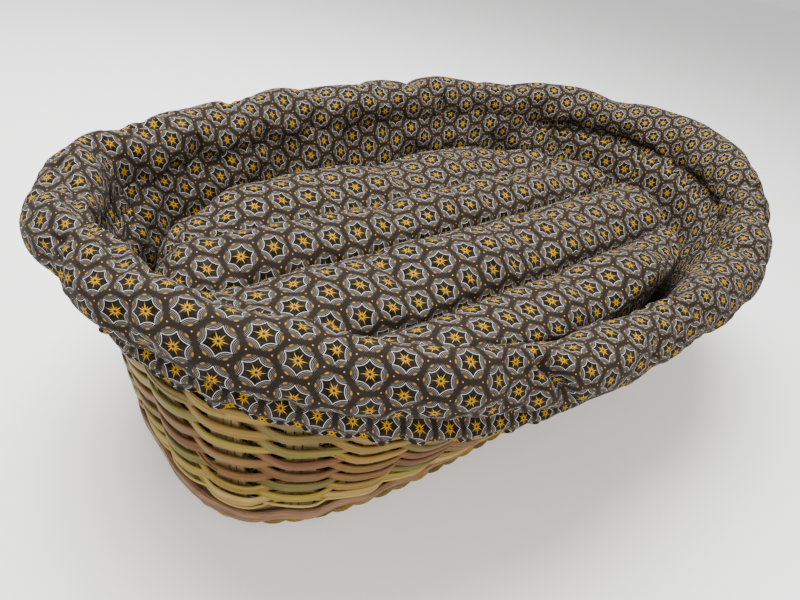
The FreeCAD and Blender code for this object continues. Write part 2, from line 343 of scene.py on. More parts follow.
def printed_cotton():
    """Dark cotton printed with stars between circles of fine white lines, and a golden burst in each star.

    The pattern's lengths are shares of the pitch from star to star.
    """
    g = Graph("printed_cotton")
    uv = g.node("ShaderNodeUVMap", uv_map="cloth").outputs[0]
    split = g.node("ShaderNodeSeparateXYZ")
    g.join(g.scaled(uv, (1 / PRINT_PITCH,) * 3), split.inputs[0])
    x, y = split.outputs[0], split.outputs[1]
    row = math.sqrt(3)

    def nearest(shift_x, shift_y):
        dx = g.sub(x, shift_x)
        dy = g.sub(y, shift_y)
        dx = g.sub(dx, g.math("ROUND", dx))
        dy = g.sub(dy, g.mul(g.math("ROUND", g.div(dy, row)), row))
        return dx, dy, g.hypot(dx, dy)

    ax, ay, ar = nearest(0.0, 0.0)
    bx, by, br = nearest(0.5, row / 2)
    pick = g.math("LESS_THAN", br, ar)
    r = g.math("MINIMUM", ar, br)
    dx = g.add(ax, g.mul(pick, g.sub(bx, ax)))
    dy = g.add(ay, g.mul(pick, g.sub(by, ay)))
    turn = g.math("ARCTAN2", dy, dx)
    sixth = math.pi / 3
    from_tip = g.math("ABSOLUTE", g.sub(g.math("FLOORED_MODULO", g.add(turn, sixth / 2), sixth), sixth / 2))
    from_arc = g.sub(sixth / 2, from_tip)
    px = g.mul(r, g.math("COSINE", from_arc))
    py = g.mul(r, g.math("SINE", from_arc))
    qx = g.mul(r, g.math("COSINE", from_tip))
    qy = g.mul(r, g.math("SINE", from_tip))
    to_circle = g.sub(1 / row, px)
    dc = g.hypot(to_circle, py)
    facing = g.math("ARCTAN2", py, to_circle)

    wear = g.noise(uv, 900.0, 2.0)
    cloudy = g.noise(uv, 130.0)
    ground = g.blend(cloudy, (0.0105, 0.0076, 0.0052), (0.019, 0.0142, 0.0104))
    inside = g.blend(g.ramp(cloudy, 0.40, 0.72), (0.004, 0.0030, 0.002), (0.019, 0.0160, 0.0145))
    star = g.mul(g.below(0.305, dc, 0.01), g.below(r, 0.41, 0.02))
    base = g.blend(star, ground, inside)

    arcs = 0.0
    for radius, reach, strength in ((0.266, 0.80, 0.46), (0.230, 0.80, 0.38), (0.196, 0.75, 0.22)):
        arc = g.mul(g.band(dc, radius, 0.0055, 0.004), strength)
        arcs = g.math("MAXIMUM", arcs, g.mul(arc, g.below(facing, reach, 0.20)))
    line = g.mul(g.band(dc, 0.309, 0.0085, 0.005), g.below(facing, 0.68, 0.06))
    dot = g.mul(g.below(dc, 0.022, 0.012), 0.7)
    white = g.math("MAXIMUM", g.math("MAXIMUM", line, arcs), dot)
    white = g.mul(white, g.ramp(wear, 0.05, 0.35))
    base = g.blend(white, base, (0.52, 0.49, 0.47))

    lens_r = g.hypot(g.div(g.sub(to_circle, 0.150), 0.032), g.div(py, 0.080))
    base = g.blend(g.below(lens_r, 1.0, 0.2), base, (0.10, 0.040, 0.004))
    base = g.blend(g.below(lens_r, 0.72, 0.2), base, (0.22, 0.135, 0.032))

    ray_width = g.mul(g.sub(1.0, g.div(px, 0.26)), 0.026)
    ray = g.mul(g.below(py, ray_width, 0.012), g.below(px, 0.26, 0.01))
    petal_width = g.mul(g.math("SINE", g.mul(g.div(qx, 0.145), math.pi)), 0.015)
    petal = g.mul(g.below(qy, petal_width, 0.012), g.below(qx, 0.145, 0.01))
    burst = g.math("MAXIMUM", ray, petal)
    gold = g.blend(g.ramp(r, 0.05, 0.24), (0.56, 0.27, 0.002), (0.70, 0.48, 0.012))
    base = g.blend(burst, base, gold)
    spoke = g.mul(g.below(g.math("MINIMUM", py, qy), 0.006, 0.005), g.below(r, 0.12, 0.02))
    base = g.blend(g.mul(spoke, 0.8), base, (0.07, 0.025, 0.006))
    base = g.blend(g.below(r, 0.044, 0.012), base, (0.020, 0.009, 0.004))

    g.set(Base_Color=base, Roughness=0.82, Sheen_Weight=0.02, Sheen_Roughness=0.5, Specular_IOR_Level=0.06)
    threads = g.noise(uv, (2600.0, 2600.0, 1.0), 1.0)
    creases = g.noise(uv, 60.0, 4.0, 0.6)
    g.bump(g.add(g.mul(threads, 0.18), creases), 0.35, 0.0015)
    return g.material


def cane(name, streak, rough, lines):
    """Split cane: the strip's own tint, with streaks and fibres along its length."""
    g = Graph(name)
    uv = g.node("ShaderNodeUVMap", uv_map="cloth").outputs[0]
    tint = g.node("ShaderNodeVertexColor", layer_name="tint").outputs[0]
    broad = g.noise(uv, (9.0, 260.0, 1.0))
    fine = g.noise(uv, (30.0, 1700.0, 1.0), 3.0, 0.6)
    patch = g.noise(uv, (28.0, 60.0, 1.0), 2.0)
    base = g.blend(g.ramp(broad, 0.35, 0.65), g.blend(1.0, tint, (0.62, 0.55, 0.45), "MULTIPLY"), tint)
    base = g.blend(g.mul(g.ramp(patch, 0.5, 0.75), streak), base, (0.20, 0.145, 0.055))
    base = g.blend(g.mul(g.ramp(fine, 0.52, 0.72), lines), base, (0.022, 0.012, 0.004))
    g.set(Base_Color=base, Roughness=g.add(g.mul(fine, 0.25), rough), Specular_IOR_Level=0.15)
    g.bump(g.add(fine, g.mul(broad, 0.6)), 0.35, 0.0006)
    return g.material


def bark():
    """Bent wood with its bark: pinkish brown, with dark cracks and pale scuffs along it."""
    g = Graph("bark_wood")
    uv = g.node("ShaderNodeUVMap", uv_map="cloth").outputs[0]
    broad = g.noise(uv, (14.0, 160.0, 1.0), 4.0, 0.6)
    fine = g.noise(uv, (70.0, 900.0, 1.0), 4.0, 0.65)
    base = g.blend(g.ramp(broad, 0.32, 0.68), (0.090, 0.042, 0.016), (0.320, 0.170, 0.078))
    base = g.blend(g.mul(g.ramp(fine, 0.50, 0.70), 0.7), base, (0.010, 0.005, 0.003))
    base = g.blend(g.mul(g.ramp(fine, 0.48, 0.30), 0.35), base, (0.36, 0.21, 0.11))
    g.set(Base_Color=base, Roughness=0.72)
    g.bump(g.add(fine, broad), 0.6, 0.0012)
    return g.material


def stake_cane():
    """Upright split cane on the CAD stakes, in place coordinates, with its grain up the wall."""
    g = Graph("stake_cane")
    place = g.node("ShaderNodeTexCoord").outputs["Object"]
    broad = g.noise(place, (90.0, 90.0, 6.0), 2.0)
    fine = g.noise(place, (900.0, 900.0, 22.0), 3.0, 0.6)
    base = g.blend(broad, (0.080, 0.046, 0.012), (0.165, 0.112, 0.036))
    base = g.blend(g.mul(g.ramp(fine, 0.48, 0.66), 0.6), base, (0.026, 0.014, 0.005))
    g.set(Base_Color=base, Roughness=0.62)
    g.bump(fine, 0.4, 0.0006)
    return g.material


def plain_hoop():
    g = Graph("rim_wood")
    place = g.node("ShaderNodeTexCoord").outputs["Object"]
    fine = g.noise(place, (40.0, 40.0, 700.0), 4.0, 0.6)
    base = g.blend(g.ramp(fine, 0.35, 0.65), (0.10, 0.05, 0.025), (0.26, 0.15, 0.08))
    g.set(Base_Color=base, Roughness=0.7)
    g.bump(fine, 0.5, 0.0008)
    return g.material


def floor_material():
    g = Graph("floor")
    g.set(Base_Color=(0.93, 0.93, 0.925, 1.0), Roughness=0.9)
    return g.material


def paint(made, material):
    made.data.materials.clear()
    made.data.materials.append(material)


def finish_piece(made, material, slot, body, *nodes):
    """Paints a piece, attaches it to its body's empty and hides the CAD nodes that it replaces; slot is not
    used.
    """
    paint(made, material)
    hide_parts(*nodes)
    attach(made, body)


PRINT = printed_cotton()
WEAVER_CANE = cane("weaver_cane", 0.35, 0.38, 0.45)
PALE_CANE = cane("pale_cane", 0.30, 0.35, 0.30)
BARK = bark()
STAKE_CANE = stake_cane()
RIM_WOOD = plain_hoop()


# -------- the basket

SAMPLES = 384  # steps round each ring


def smooth_ring(node):
    """A CAD ring as smooth lines: its centre, its edge vectors, and 1 where it passes outside a stake."""
    centre, up, out = section_frames(stations(corner_points(node), 4))
    before, after = np.roll(centre, 2, 0), np.roll(centre, -2, 0)
    outside = (((centre - (before + after) / 2) * out).sum(1) > 0).astype(float)
    return tuple(closed_spline(values, SAMPLES) for values in (centre, up, out, outside))


CANES_PER_ROW = 3
WEAVER_THICK = 0.0023
TWINED_THICK = 0.0021
STRIP_THICK = 0.0021
STRAW = (0.200, 0.132, 0.022)
YELLOW = (0.290, 0.205, 0.026)
GREENISH = (0.135, 0.112, 0.010)
PINK_TAN = (0.165, 0.083, 0.022)
ORANGE_TAN = (0.135, 0.058, 0.010)
OLIVE = (0.130, 0.098, 0.018)
# Paler cane for the lowest woven row and the twined canes: partly their own paler tone, partly painted
# light, as these low rows are lit below the roll's shade.
PALE_AND_LIT_CANE = (0.40, 0.30, 0.085)
ROW_TINTS = (PALE_AND_LIT_CANE, YELLOW, STRAW, GREENISH, PINK_TAN, ORANGE_TAN, PINK_TAN, ORANGE_TAN,
             STRAW, OLIVE, STRAW, OLIVE, STRAW, OLIVE, STRAW)


def woven_row(number):
    """One row: three long canes whose tapered ends lie over one another."""
    node = f"weaver_{number + 1:02d}"
    centre, up, out, outside = smooth_ring(node)
    rng = np.random.default_rng(100 + number)
    row = Strips()
    start = rng.uniform(0, 1)
    for piece in range(CANES_PER_ROW):
        first = int((start + piece / CANES_PER_ROW + rng.uniform(-0.04, 0.04)) * SAMPLES)
        length = int(SAMPLES * (1 / CANES_PER_ROW + 0.085))
        index = np.arange(first, first + length) % SAMPLES
        place = np.arange(length) / length
        ends = np.minimum(place, 1 - place) * length
        taper = soft_step(ends, -3, 24)
        swell = soft_step(outside[index], 0.1, 0.9)
        width = (0.0074 + 0.0023 * swell) * (0.12 + 0.88 * taper) * rng.uniform(0.93, 1.03)
        thick = WEAVER_THICK * (0.35 + 0.65 * taper)
        lift = 0.0007 * np.cos(2 * math.pi * (place * rng.uniform(5, 9) + rng.uniform()))
        over = 0.0011 * (soft_step(place, 0.82, 0.99) - 0.6 * soft_step(place, 0.16, 0.0))
        line = centre[index] + UP * lift[:, None] + unit(out[index]) * over[:, None]
        tint = np.array(ROW_TINTS[number]) * rng.uniform(0.85, 1.15) * (1 + rng.normal(0, 0.05, 3))
        tint = np.clip(tint, 0.02, 1)
        row.add(line, up[index], out[index], width, thick, FLAT, tint, start=rng.uniform(0, 9))
    finish_piece(row.make(f"woven_row_{number + 1:02d}"), WEAVER_CANE, "weaver_cane", "basket", node)


def twined_row(number):
    """A thin round cane just above the band, slightly uneven in height and width."""
    node = f"twining_{number}"
    centre, up, out, _ = smooth_ring(node)
    strips = Strips()
    phase = np.arange(SAMPLES) / SAMPLES
    lift = 0.0005 * ripple(phase, (7, 13, 19), 40 + number)
    line = centre + UP * lift[:, None]
    width = 0.0027 + 0.0003 * ripple(phase, (11, 17), 50 + number)
    # The pale tint here is partly the cane's own tone and partly painted light on the low, lit rows.
    strips.add(line, up, out, width, TWINED_THICK, ROUND, PALE_AND_LIT_CANE, closed=True)
    finish_piece(strips.make(f"twined_cane_{number}"), PALE_CANE, "pale_cane", "basket", node)


def bark_hoop(node, name, seed):
    """A bent band with its bark on, bulging outwards and uneven along its edges."""
    centre, up, out, _ = smooth_ring(node)
    height = np.linalg.norm(up, axis=1).mean()
    thick = np.linalg.norm(out, axis=1).mean()
    phase = np.arange(SAMPLES) / SAMPLES
    lift = 0.0006 * ripple(phase, (3, 5, 8), seed)
    width = height * (1.0 + 0.05 * ripple(phase, (4, 9, 15, 31), seed + 1))
    depth = thick * (0.95 + 0.08 * ripple(phase, (6, 21, 37), seed + 2))
    across = np.linspace(-0.5, 0.5, 9)
    front = [(a, 0.5 - 0.9 * abs(a) ** 3 - 0.05 * math.cos(26 * a)) for a in across]
    profile = front + [(0.47, -0.5), (0.0, -0.5), (-0.47, -0.5)]
    hoop = Strips()
    hoop.add(centre + UP * lift[:, None], up, out, width, depth, profile, (0.4, 0.25, 0.15), closed=True)
    finish_piece(hoop.make(name), BARK, "bark_wood", "basket", node)


FOOT_STEPS = 480
FOOT_TWISTS = 26
FOOT_CANE_WIDE = 0.0066
FOOT_CANE_THICK = 0.0034


def foot_line():
    """The middle of the foot border's ring and the direction outwards from it."""
    sections = stations(corner_points("foot_border"), 4)
    centre = sections.mean(1)
    out = (by_reach(sections)[:, -1] - centre) * [1, 1, 0]
    smooth_out = unit(closed_spline(out, FOOT_STEPS))
    return closed_spline(centre, FOOT_STEPS), smooth_out, np.linalg.norm(out, axis=1).mean()


def foot_border():
    """Three flat canes twisted round one another all the way round the foot."""
    centre, out, half = foot_line()
    low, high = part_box("foot_border")
    phase = np.arange(FOOT_STEPS) / FOOT_STEPS
    rope = Strips()
    strands = (STRAW, OLIVE, YELLOW)
    reach = half - 0.0060
    rise = (high.z - low.z - FOOT_CANE_THICK) / 2
    for strand, tint in enumerate(strands):
        turn = 2 * math.pi * (FOOT_TWISTS * phase + strand / len(strands))
        line = centre - out * 0.0015
        line[:, 2] = (low.z + high.z) / 2
        line += out * (reach * np.cos(turn))[:, None] + UP * (rise * np.sin(turn))[:, None]
        lean = UP * np.abs(np.cos(turn))[:, None] + out * np.sin(turn)[:, None]
        side = np.cross(unit(np.roll(line, -1, 0) - np.roll(line, 1, 0)), unit(lean))
        rope.add(line, side, lean, FOOT_CANE_WIDE, FOOT_CANE_THICK, FLAT, tint, closed=True)
    made = rope.make("plaited_foot")
    points = points_of(made)
    points[:, 2] = np.clip(points[:, 2], low.z, high.z)
    move_points(made, points)
    finish_piece(made, PALE_CANE, "pale_cane", "basket", "foot_border")


def box_strips(node):
    """The axis that a base node's strips run along, and each strip as (low corner, high corner)."""
    points = corner_points(node)
    along = 0 if node == "base_long_slats" else 1
    order = points[np.argsort(points[:, 1 - along])]
    groups = np.split(order, len(order) // 8)
    return along, [(group.min(0), group.max(0)) for group in groups]


def base_canes(node, name, other_pitch, side, tint):
    """The base strips, passing over and under the ones that cross them."""
    along, strips = box_strips(node)
    other_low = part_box("base_cross_strips")[0].z
    other_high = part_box("base_long_slats")[1].z
    middle = (other_low + other_high) / 2
    direction = np.eye(3)[along]
    sideways = np.eye(3)[1 - along]
    bundle = Strips()
    for number, (low, high) in enumerate(strips):
        count = max(12, int((high[along] - low[along]) / 0.006))
        place = np.linspace(low[along], high[along], count)
        wave = np.cos(math.pi * place / other_pitch) * (1 if number % 2 else -1) * side
        line = np.outer(place, direction) + sideways * (low + high)[1 - along] / 2
        line[:, 2] = middle + 0.0012 * np.clip(wave * 1.6, -1, 1)
        shade = np.array(tint) * RNG.uniform(0.85, 1.1)
        width = high[1 - along] - low[1 - along]
        ups = np.tile(sideways, (count, 1))
        outs = np.tile(UP, (count, 1))
        bundle.add(line, ups, outs, width, STRIP_THICK, FLAT, shade, start=RNG.uniform(0, 5))
    finish_piece(bundle.make(name), WEAVER_CANE, "weaver_cane", "basket", node)


for row_number in range(len(ROW_TINTS)):
    woven_row(row_number)
for twining_number in (1, 2):
    twined_row(twining_number)
bark_hoop("base_band", "bark_band", 61)
bark_hoop("base_hoop", "inner_hoop", 71)
foot_border()
base_canes("base_cross_strips", "base_cross_canes", 0.021, 1, STRAW)
base_canes("base_long_slats", "base_long_canes", 0.035, -1, PINK_TAN)
for node_name, material, slot_name in (
        ("wide_stakes", STAKE_CANE, "stake_cane"),
        ("narrow_stakes", STAKE_CANE, "stake_cane"),
        ("rim_hoop_outer", RIM_WOOD, "bark_wood"),
        ("rim_hoop_inner", RIM_WOOD, "bark_wood"),
        ("rim_lashing", STAKE_CANE, "pale_cane")):
    paint(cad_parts[node_name], material)


# -------- the liner's own lines

AROUND = 400  # steps round the liner
PRESSED = 0.0032  # cloth this near to a crease's line is held down
SEAM_INSET = 0.007  # how far inside the roll's surface the wall and the skirt are sewn to it


def ring_pairs(node, low):
    """One edge of a ring standing on its side: its inner and outer corner at each station."""
    points = corner_points(node)
    middle = (points[:, 2].min() + points[:, 2].max()) / 2
    if node == "skirt":
        sections = by_height(stations(points, 4))
        pairs = sections[:, :2] if low else sections[:, 2:]
    else:
        pairs = stations(points[(points[:, 2] < middle) == low], 2)
    return by_reach(pairs)


def roll_line():
    """The middle of the stuffed roll, the direction outwards from it and its radius."""
    points = corner_points("bolster_filling")
    head = ring_pairs("skirt", False)
    out = unit(head[:, 1] - head[:, 0])
    centres, reaches = [], []
    for place, outward in zip(head[:, 0], out):
        along = np.cross(UP, outward)
        nearby = points[np.linalg.norm(points - place, axis=1) < 0.09]
        section = nearby[np.argsort(np.abs((nearby - place) @ along))[:10]]
        centres.append(section.mean(0))
        reaches.append(np.linalg.norm(section - section.mean(0), axis=1).mean() + COVER)
    centre, reach = (closed_spline(np.array(values), AROUND) for values in (centres, reaches))
    return centre, unit(closed_spline(out, AROUND)), reach


COVER = 0.0018  # from the filling's surface to the outside of the roll's cover
ROLL, ROLL_OUT, ROLL_REACH = roll_line()
ROLL_LENGTH = float(ring_steps(ROLL).sum())
PHASE = np.arange(AROUND) / AROUND


def crumple(phase, down, waves, seed):
    """Noise round a ring and down it, about -1 to 1, that closes on itself."""
    rng = np.random.default_rng(seed)
    total = np.zeros(np.broadcast(phase, down).shape)
    for wave in waves:
        lean = rng.uniform(-1.6, 1.6)
        total += rng.uniform(0.5, 1) * np.cos(2 * math.pi * (wave * phase + lean * down + rng.uniform()))
    return total / math.sqrt(len(waves))


def fold(width, depth, *line, ends=0.15):
    """A crease along line, whose points are (share of the way round, metres across the cloth)."""
    return np.array(line, float) * [ROLL_LENGTH, 1], width, depth, ends


def dents(folds, u, v):
    """For each fold, how deep it is at each place and where it holds the cloth down. Its ends fade."""
    for points, width, depth, ends in folds:
        best = np.full(u.shape, 1e9)
        fade = np.ones(u.shape)
        for number, (a, b) in enumerate(zip(points[:-1], points[1:])):
            span = b - a
            shift = (u - a[0] + ROLL_LENGTH / 2) % ROLL_LENGTH - ROLL_LENGTH / 2
            share = np.clip((shift * span[0] + (v - a[1]) * span[1]) / (span @ span), 0, 1)
            off = np.hypot(shift - share * span[0], v - a[1] - share * span[1])
            fade = np.where(off < best, (number + share) / (len(points) - 1), fade)
            best = np.minimum(off, best)
        strength = soft_step(fade, -0.02, ends) * (1 - soft_step(fade, 1 - ends, 1.02))
        yield depth * strength * np.exp(-((best / width) ** 2)), (best < PRESSED) & (strength > 0.35)


def ring_faces(rows, columns=AROUND):
    """Quads of a tube of rows round a ring, and the (column, row) of each quad's corners."""
    faces, places = [], []
    for column in range(columns):
        for row in range(rows):
            corners = [(column, row), (column + 1, row), (column + 1, row + 1), (column, row + 1)]
            faces.append([(c % columns) * rows + (r % rows) for c, r in corners])
            places += corners
    return faces, np.array(places)


CLOTH_FRAMES = 20  # how long a cloth is blown up


def run_cloth(made, pinned, pressure, growth, stiffness, cap):
    """Blows the mesh up as cloth, held at its pinned points; no point moves farther than cap."""
    rest = points_of(made)
    group = made.vertex_groups.new(name="pinned")
    group.add([int(i) for i in np.flatnonzero(pinned)], 1.0, "REPLACE")
    modifier = made.modifiers.new("cloth", "CLOTH")
    settings = modifier.settings
    settings.quality = 5
    settings.mass = 0.15
    settings.tension_stiffness = 25
    settings.compression_stiffness = 25
    settings.shear_stiffness = 8
    settings.bending_stiffness = stiffness
    settings.vertex_group_mass = "pinned"
    settings.use_pressure = True
    settings.uniform_pressure_force = pressure
    settings.shrink_min = -growth
    settings.effector_weights.gravity = 0
    modifier.collision_settings.use_collision = False
    modifier.point_cache.frame_start = 1
    modifier.point_cache.frame_end = CLOTH_FRAMES
    for number in range(1, CLOTH_FRAMES + 1):
        bpy.context.scene.frame_set(number)
    moved = made.evaluated_get(bpy.context.evaluated_depsgraph_get())
    points = points_of(moved)
    made.modifiers.remove(modifier)
    bpy.context.scene.frame_set(1)
    shift = points - rest
    size = np.linalg.norm(shift, axis=1, keepdims=True)
    points = rest + shift * np.minimum(1, cap / np.maximum(size, 1e-9))
    move_points(made, points)


def subdivide(made):
    """Smooths the mesh by splitting each face into four."""
    modifier = made.modifiers.new("smooth", "SUBSURF")
    modifier.levels = modifier.render_levels = 1
    finer = bpy.data.meshes.new_from_object(made.evaluated_get(bpy.context.evaluated_depsgraph_get()))
    made.modifiers.remove(modifier)
    made.data = finer


# -------- the roll

ROLL_SIDES = 40
INNER_SEAM = 226.0  # degrees round the section, from outwards over the top
OUTER_SEAM = 296.0
GATHERED_PITCH = 0.0205  # how far apart the print's stars lie where the cloth is gathered
SMOOTH_PITCH = 0.0238  # and at the back, where it lies smooth
ROLL_FOLDS = (
    fold(0.005, 0.014, (0.668, 0.084), (0.676, 0.062), (0.686, 0.036)),
    fold(0.003, 0.007, (0.498, 0.069), (0.508, 0.078)),
    fold(0.004, 0.007, (0.832, 0.126), (0.850, 0.098)),
    fold(0.005, 0.008, (0.909, 0.140), (0.912, 0.110), (0.915, 0.070), ends=0.05),
    fold(0.005, 0.007, (0.441, 0.075), (0.445, 0.090), (0.466, 0.106), (0.514, 0.100), (0.537, 0.085)),
    fold(0.006, 0.006, (0.141, 0.105), (0.138, 0.150)),
    fold(0.006, 0.004, (0.214, 0.115), (0.214, 0.150)),
    fold(0.006, 0.005, (0.315, 0.110), (0.314, 0.150)),
    fold(0.006, 0.007, (0.400, 0.080), (0.370, 0.110)),
    fold(0.005, 0.003, (0.590, 0.060), (0.600, 0.100)),
    fold(0.005, 0.003, (0.760, 0.050), (0.752, 0.095)),
)


def roll():
    """The stuffed roll: gathered at its two seams, creased where the photo shows folds, then blown up."""
    angles = np.radians(INNER_SEAM + np.arange(ROLL_SIDES) * 360 / ROLL_SIDES)
    outer_row = int(round(((OUTER_SEAM - INNER_SEAM) % 360) / 360 * ROLL_SIDES))
    phase, turn = PHASE[:, None], angles[None, :]
    down = (turn - angles[0]) / (2 * math.pi)
    radius = ROLL_REACH[:, None] - 0.001 + 0 * turn
    radius += 0.0018 * ripple(phase, (3, 5, 8), 1) + 0.0017 * crumple(phase, down, (9, 14, 19, 26), 2)
    gather = crumple(phase, down * 0, (41, 58, 73, 97), 3)
    near_seams = np.exp(-((down / 0.13) ** 2)) + np.exp(-(((1 - down) / 0.13) ** 2))
    near_seams += 0.7 * np.exp(-(((down - outer_row / ROLL_SIDES) / 0.07) ** 2))
    radius += 0.0028 * gather * near_seams
    pinned = np.zeros((AROUND, ROLL_SIDES), bool)
    pinned[:, 0] = pinned[:, outer_row] = True
    radius[:, 0] -= 0.0045
    radius[:, outer_row] -= 0.003
    length = phase * ROLL_LENGTH + 0 * down
    girth = ROLL_REACH[:, None] * (turn - angles[0])
    for dent, held in dents(ROLL_FOLDS, length, girth):
        radius -= dent
        pinned |= held
    points = ROLL[:, None, :] + ROLL_OUT[:, None, :] * (radius * np.cos(turn))[:, :, None]
    points = points + UP * (radius * np.sin(turn))[:, :, None]
    faces, places = ring_faces(ROLL_SIDES)
    over = (1 - places[:, 1] / ROLL_SIDES) * 2 * math.pi * ROLL_REACH[places[:, 0] % AROUND]
    uv = liner_uv(places[:, 0], over)
    made = mesh_object("bolster", points.reshape(-1, 3), faces, uv)
    run_cloth(made, pinned.ravel(), 4.0, 0.045, 0.4, 0.009)
    subdivide(made)
    finish_piece(made, PRINT, "printed_cotton", "liner", "bolster_cover", "bolster_filling")


def star_places():
    """How far apart the stars lie at each step round the liner, and how many lie before it."""
    back = soft_step(PHASE, 0.02, 0.10) * (1 - soft_step(PHASE, 0.40, 0.50))
    pitch = GATHERED_PITCH + (SMOOTH_PITCH - GATHERED_PITCH) * back
    passed = running(ring_steps(ROLL) / pitch)
    whole = round(passed[-1] / math.sqrt(3)) * math.sqrt(3)
    return np.append(pitch, pitch[0]), passed * whole / passed[-1]


PITCH, STARS = star_places()


def liner_uv(column, across):
    """The print on the liner: its stars stand above one another, and a whole number go round."""
    return np.stack([across / PITCH[column], STARS[column]], 1) * PRINT_PITCH


# -------- the padded wall

WALL_ROWS = 26
WALL_FOLDS = (
    fold(0.006, 0.005, (0.138, 0.000), (0.138, 0.040)),
    fold(0.013, 0.009, (0.128, 0.050), (0.085, 0.058)),
    fold(0.006, 0.004, (0.214, 0.000), (0.212, 0.045)),
    fold(0.006, 0.004, (0.176, 0.010), (0.176, 0.060)),
    fold(0.006, 0.004, (0.314, 0.000), (0.313, 0.040)),
    fold(0.006, 0.006, (0.462, 0.045), (0.394, 0.012)),
    fold(0.006, 0.006, (0.425, 0.055), (0.346, 0.014)),
    fold(0.006, 0.005, (0.415, 0.062), (0.362, 0.048)),
)


def liner_wall():
    """The padded inner wall, from the seam under the roll down to the floor lining."""
    foot = closed_spline(ring_pairs("wall_lining", True)[:, 0], AROUND)
    top = closed_spline(ring_pairs("wall_lining", False)[:, 0], AROUND)
    behind_foot = closed_spline(ring_pairs("wall_padding", True)[:, 1], AROUND)
    behind_top = closed_spline(ring_pairs("wall_padding", False)[:, 1], AROUND)
    inward = -unit(top * [1, 1, 0] + foot * [1, 1, 0])
    back = soft_step(PHASE, 0.08, 0.13) * (1 - soft_step(PHASE, 0.38, 0.45))
    seam_angle = np.radians(220 - 34 * back)
    reach = ROLL_REACH - SEAM_INSET
    seam = ROLL + ROLL_OUT * (reach * np.cos(seam_angle))[:, None]
    seam = seam + UP * (reach * np.sin(seam_angle))[:, None]
    rows = []
    steps = np.linspace(0, 1, WALL_ROWS)
    for share in steps:
        line = seam * (1 - share) + foot * share
        straight = top + (foot - top) * share
        line = line * (1 - soft_step(share, 0.1, 0.8)) + straight * soft_step(share, 0.1, 0.8)
        puff = 0.009 * math.sin(math.pi * min(1, share / 0.55))
        rows.append(line + inward * puff)
    rows = np.array(rows).transpose(1, 0, 2)
    phase, down = PHASE[:, None], steps[None, :]
    fullness = np.sin(math.pi * np.clip(down / 0.6, 0, 1))
    swell = 0.0022 * crumple(phase, down, (9, 15, 22), 21)
    swell += 0.0016 * crumple(phase, down * 0.5, (34, 47, 61), 22)
    gathers = 0.0024 * crumple(phase, down * 0.3, (52, 71, 88), 23) * np.exp(-(((1 - down) / 0.5) ** 2))
    rows = rows + inward[:, None, :] * ((swell + gathers) * fullness)[:, :, None]
    slope = running(np.linalg.norm(np.diff(rows, axis=1), axis=2).mean(0))
    pinned = np.zeros((AROUND, WALL_ROWS + 2), bool)
    pinned[:, 0] = pinned[:, WALL_ROWS - 1:] = True
    length = phase * ROLL_LENGTH + 0 * down
    height = slope[None, :] + 0 * phase
    for dent, held in dents(WALL_FOLDS, length, height):
        rows = rows - inward[:, None, :] * dent[:, :, None]
        pinned[:, :WALL_ROWS] |= held
    points = np.concatenate([rows, behind_foot[:, None, :], behind_top[:, None, :]], 1)
    faces, places = ring_faces(WALL_ROWS + 2)
    across = np.concatenate([slope, [slope[-1] + 0.006, slope[-1] + 0.16, slope[-1] + 0.17]])
    hidden = ROLL_REACH * (math.radians(INNER_SEAM) - seam_angle)
    uv = liner_uv(places[:, 0], hidden[places[:, 0] % AROUND] - across[places[:, 1]])
    made = mesh_object("liner_wall", points.reshape(-1, 3), [f[::-1] for f in faces],
                       uv.reshape(-1, 4, 2)[:, ::-1].reshape(-1, 2))
    run_cloth(made, pinned.ravel(), 2.5, 0.05, 0.3, 0.008)
    subdivide(made)
    finish_piece(made, PRINT, "printed_cotton", "liner", "wall_lining", "wall_padding")


# -------- the liner's flat cloths


def cloth_ring(name, rows, thickness, replaced, print_scale=1.0):
    """A thin closed sheet round the bed, through rows of points from its top edge to its hem.

    Also gives the sheet's depth and its length round the bed.
    """
    rows = np.array(rows).transpose(1, 0, 2)
    count = rows.shape[1]
    along = np.roll(rows, -1, 0) - np.roll(rows, 1, 0)
    down = np.gradient(rows, axis=1)
    normal = unit(np.cross(along, down))
    points = np.concatenate([rows + normal * thickness / 2, (rows - normal * thickness / 2)[:, ::-1]], 1)
    faces, places = ring_faces(2 * count)
    slope = running(np.linalg.norm(np.diff(rows, axis=1), axis=2).mean(0))
    across = np.concatenate([slope, slope[::-1], [0]])
    length = float(ring_steps(rows).sum(0).mean())
    uv = np.stack([places[:, 0] / AROUND * length, across[places[:, 1]]], 1) * print_scale
    made = mesh_object(name, points.reshape(-1, 3), faces, uv)
    finish_piece(made, PRINT, "printed_cotton", "liner", *replaced)
    return made, slope[-1], length


def skirt():
    """The gathered skirt: it hangs from under the roll and is drawn in at its hem by elastic."""
    head = closed_spline(ring_pairs("skirt", False).mean(1), AROUND)
    hem = closed_spline(ring_pairs("skirt", True).mean(1), AROUND)
    tucked = soft_step(PHASE, 0.64, 0.72) * (1 - soft_step(PHASE, 0.88, 0.94))
    hem = hem + UP * 0.009 * tucked[:, None] - ROLL_OUT * 0.003 * tucked[:, None]
    rows = [ROLL + unit(head - ROLL) * (ROLL_REACH - SEAM_INSET)[:, None]]
    wave = ripple(PHASE, (57, 74, 91), 31) * (1 - 0.6 * tucked)
    broad = ripple(PHASE, (7, 12, 19), 32)
    for share in np.linspace(0, 1, 12):
        belly = math.sin(math.pi * min(1.0, share * 1.15)) * 0.006
        gather = 0.0034 * wave * soft_step(share, 0.15, 1.0) + 0.0016 * broad * share
        bulge = belly * (1 + 0.3 * broad) + gather - 0.0015 * share
        sag = 0.0022 * broad * share
        rows.append(head * (1 - share) + hem * share + ROLL_OUT * bulge[:, None] + UP * sag[:, None])
    rows.append(rows[-1] - UP * 0.0018 + ROLL_OUT * 0.0012)
    made, height, length = cloth_ring("skirt_cloth", rows, 0.0012, ("skirt", "hem_elastic"),
                                      PRINT_PITCH / GATHERED_PITCH)
    subdivide(made)


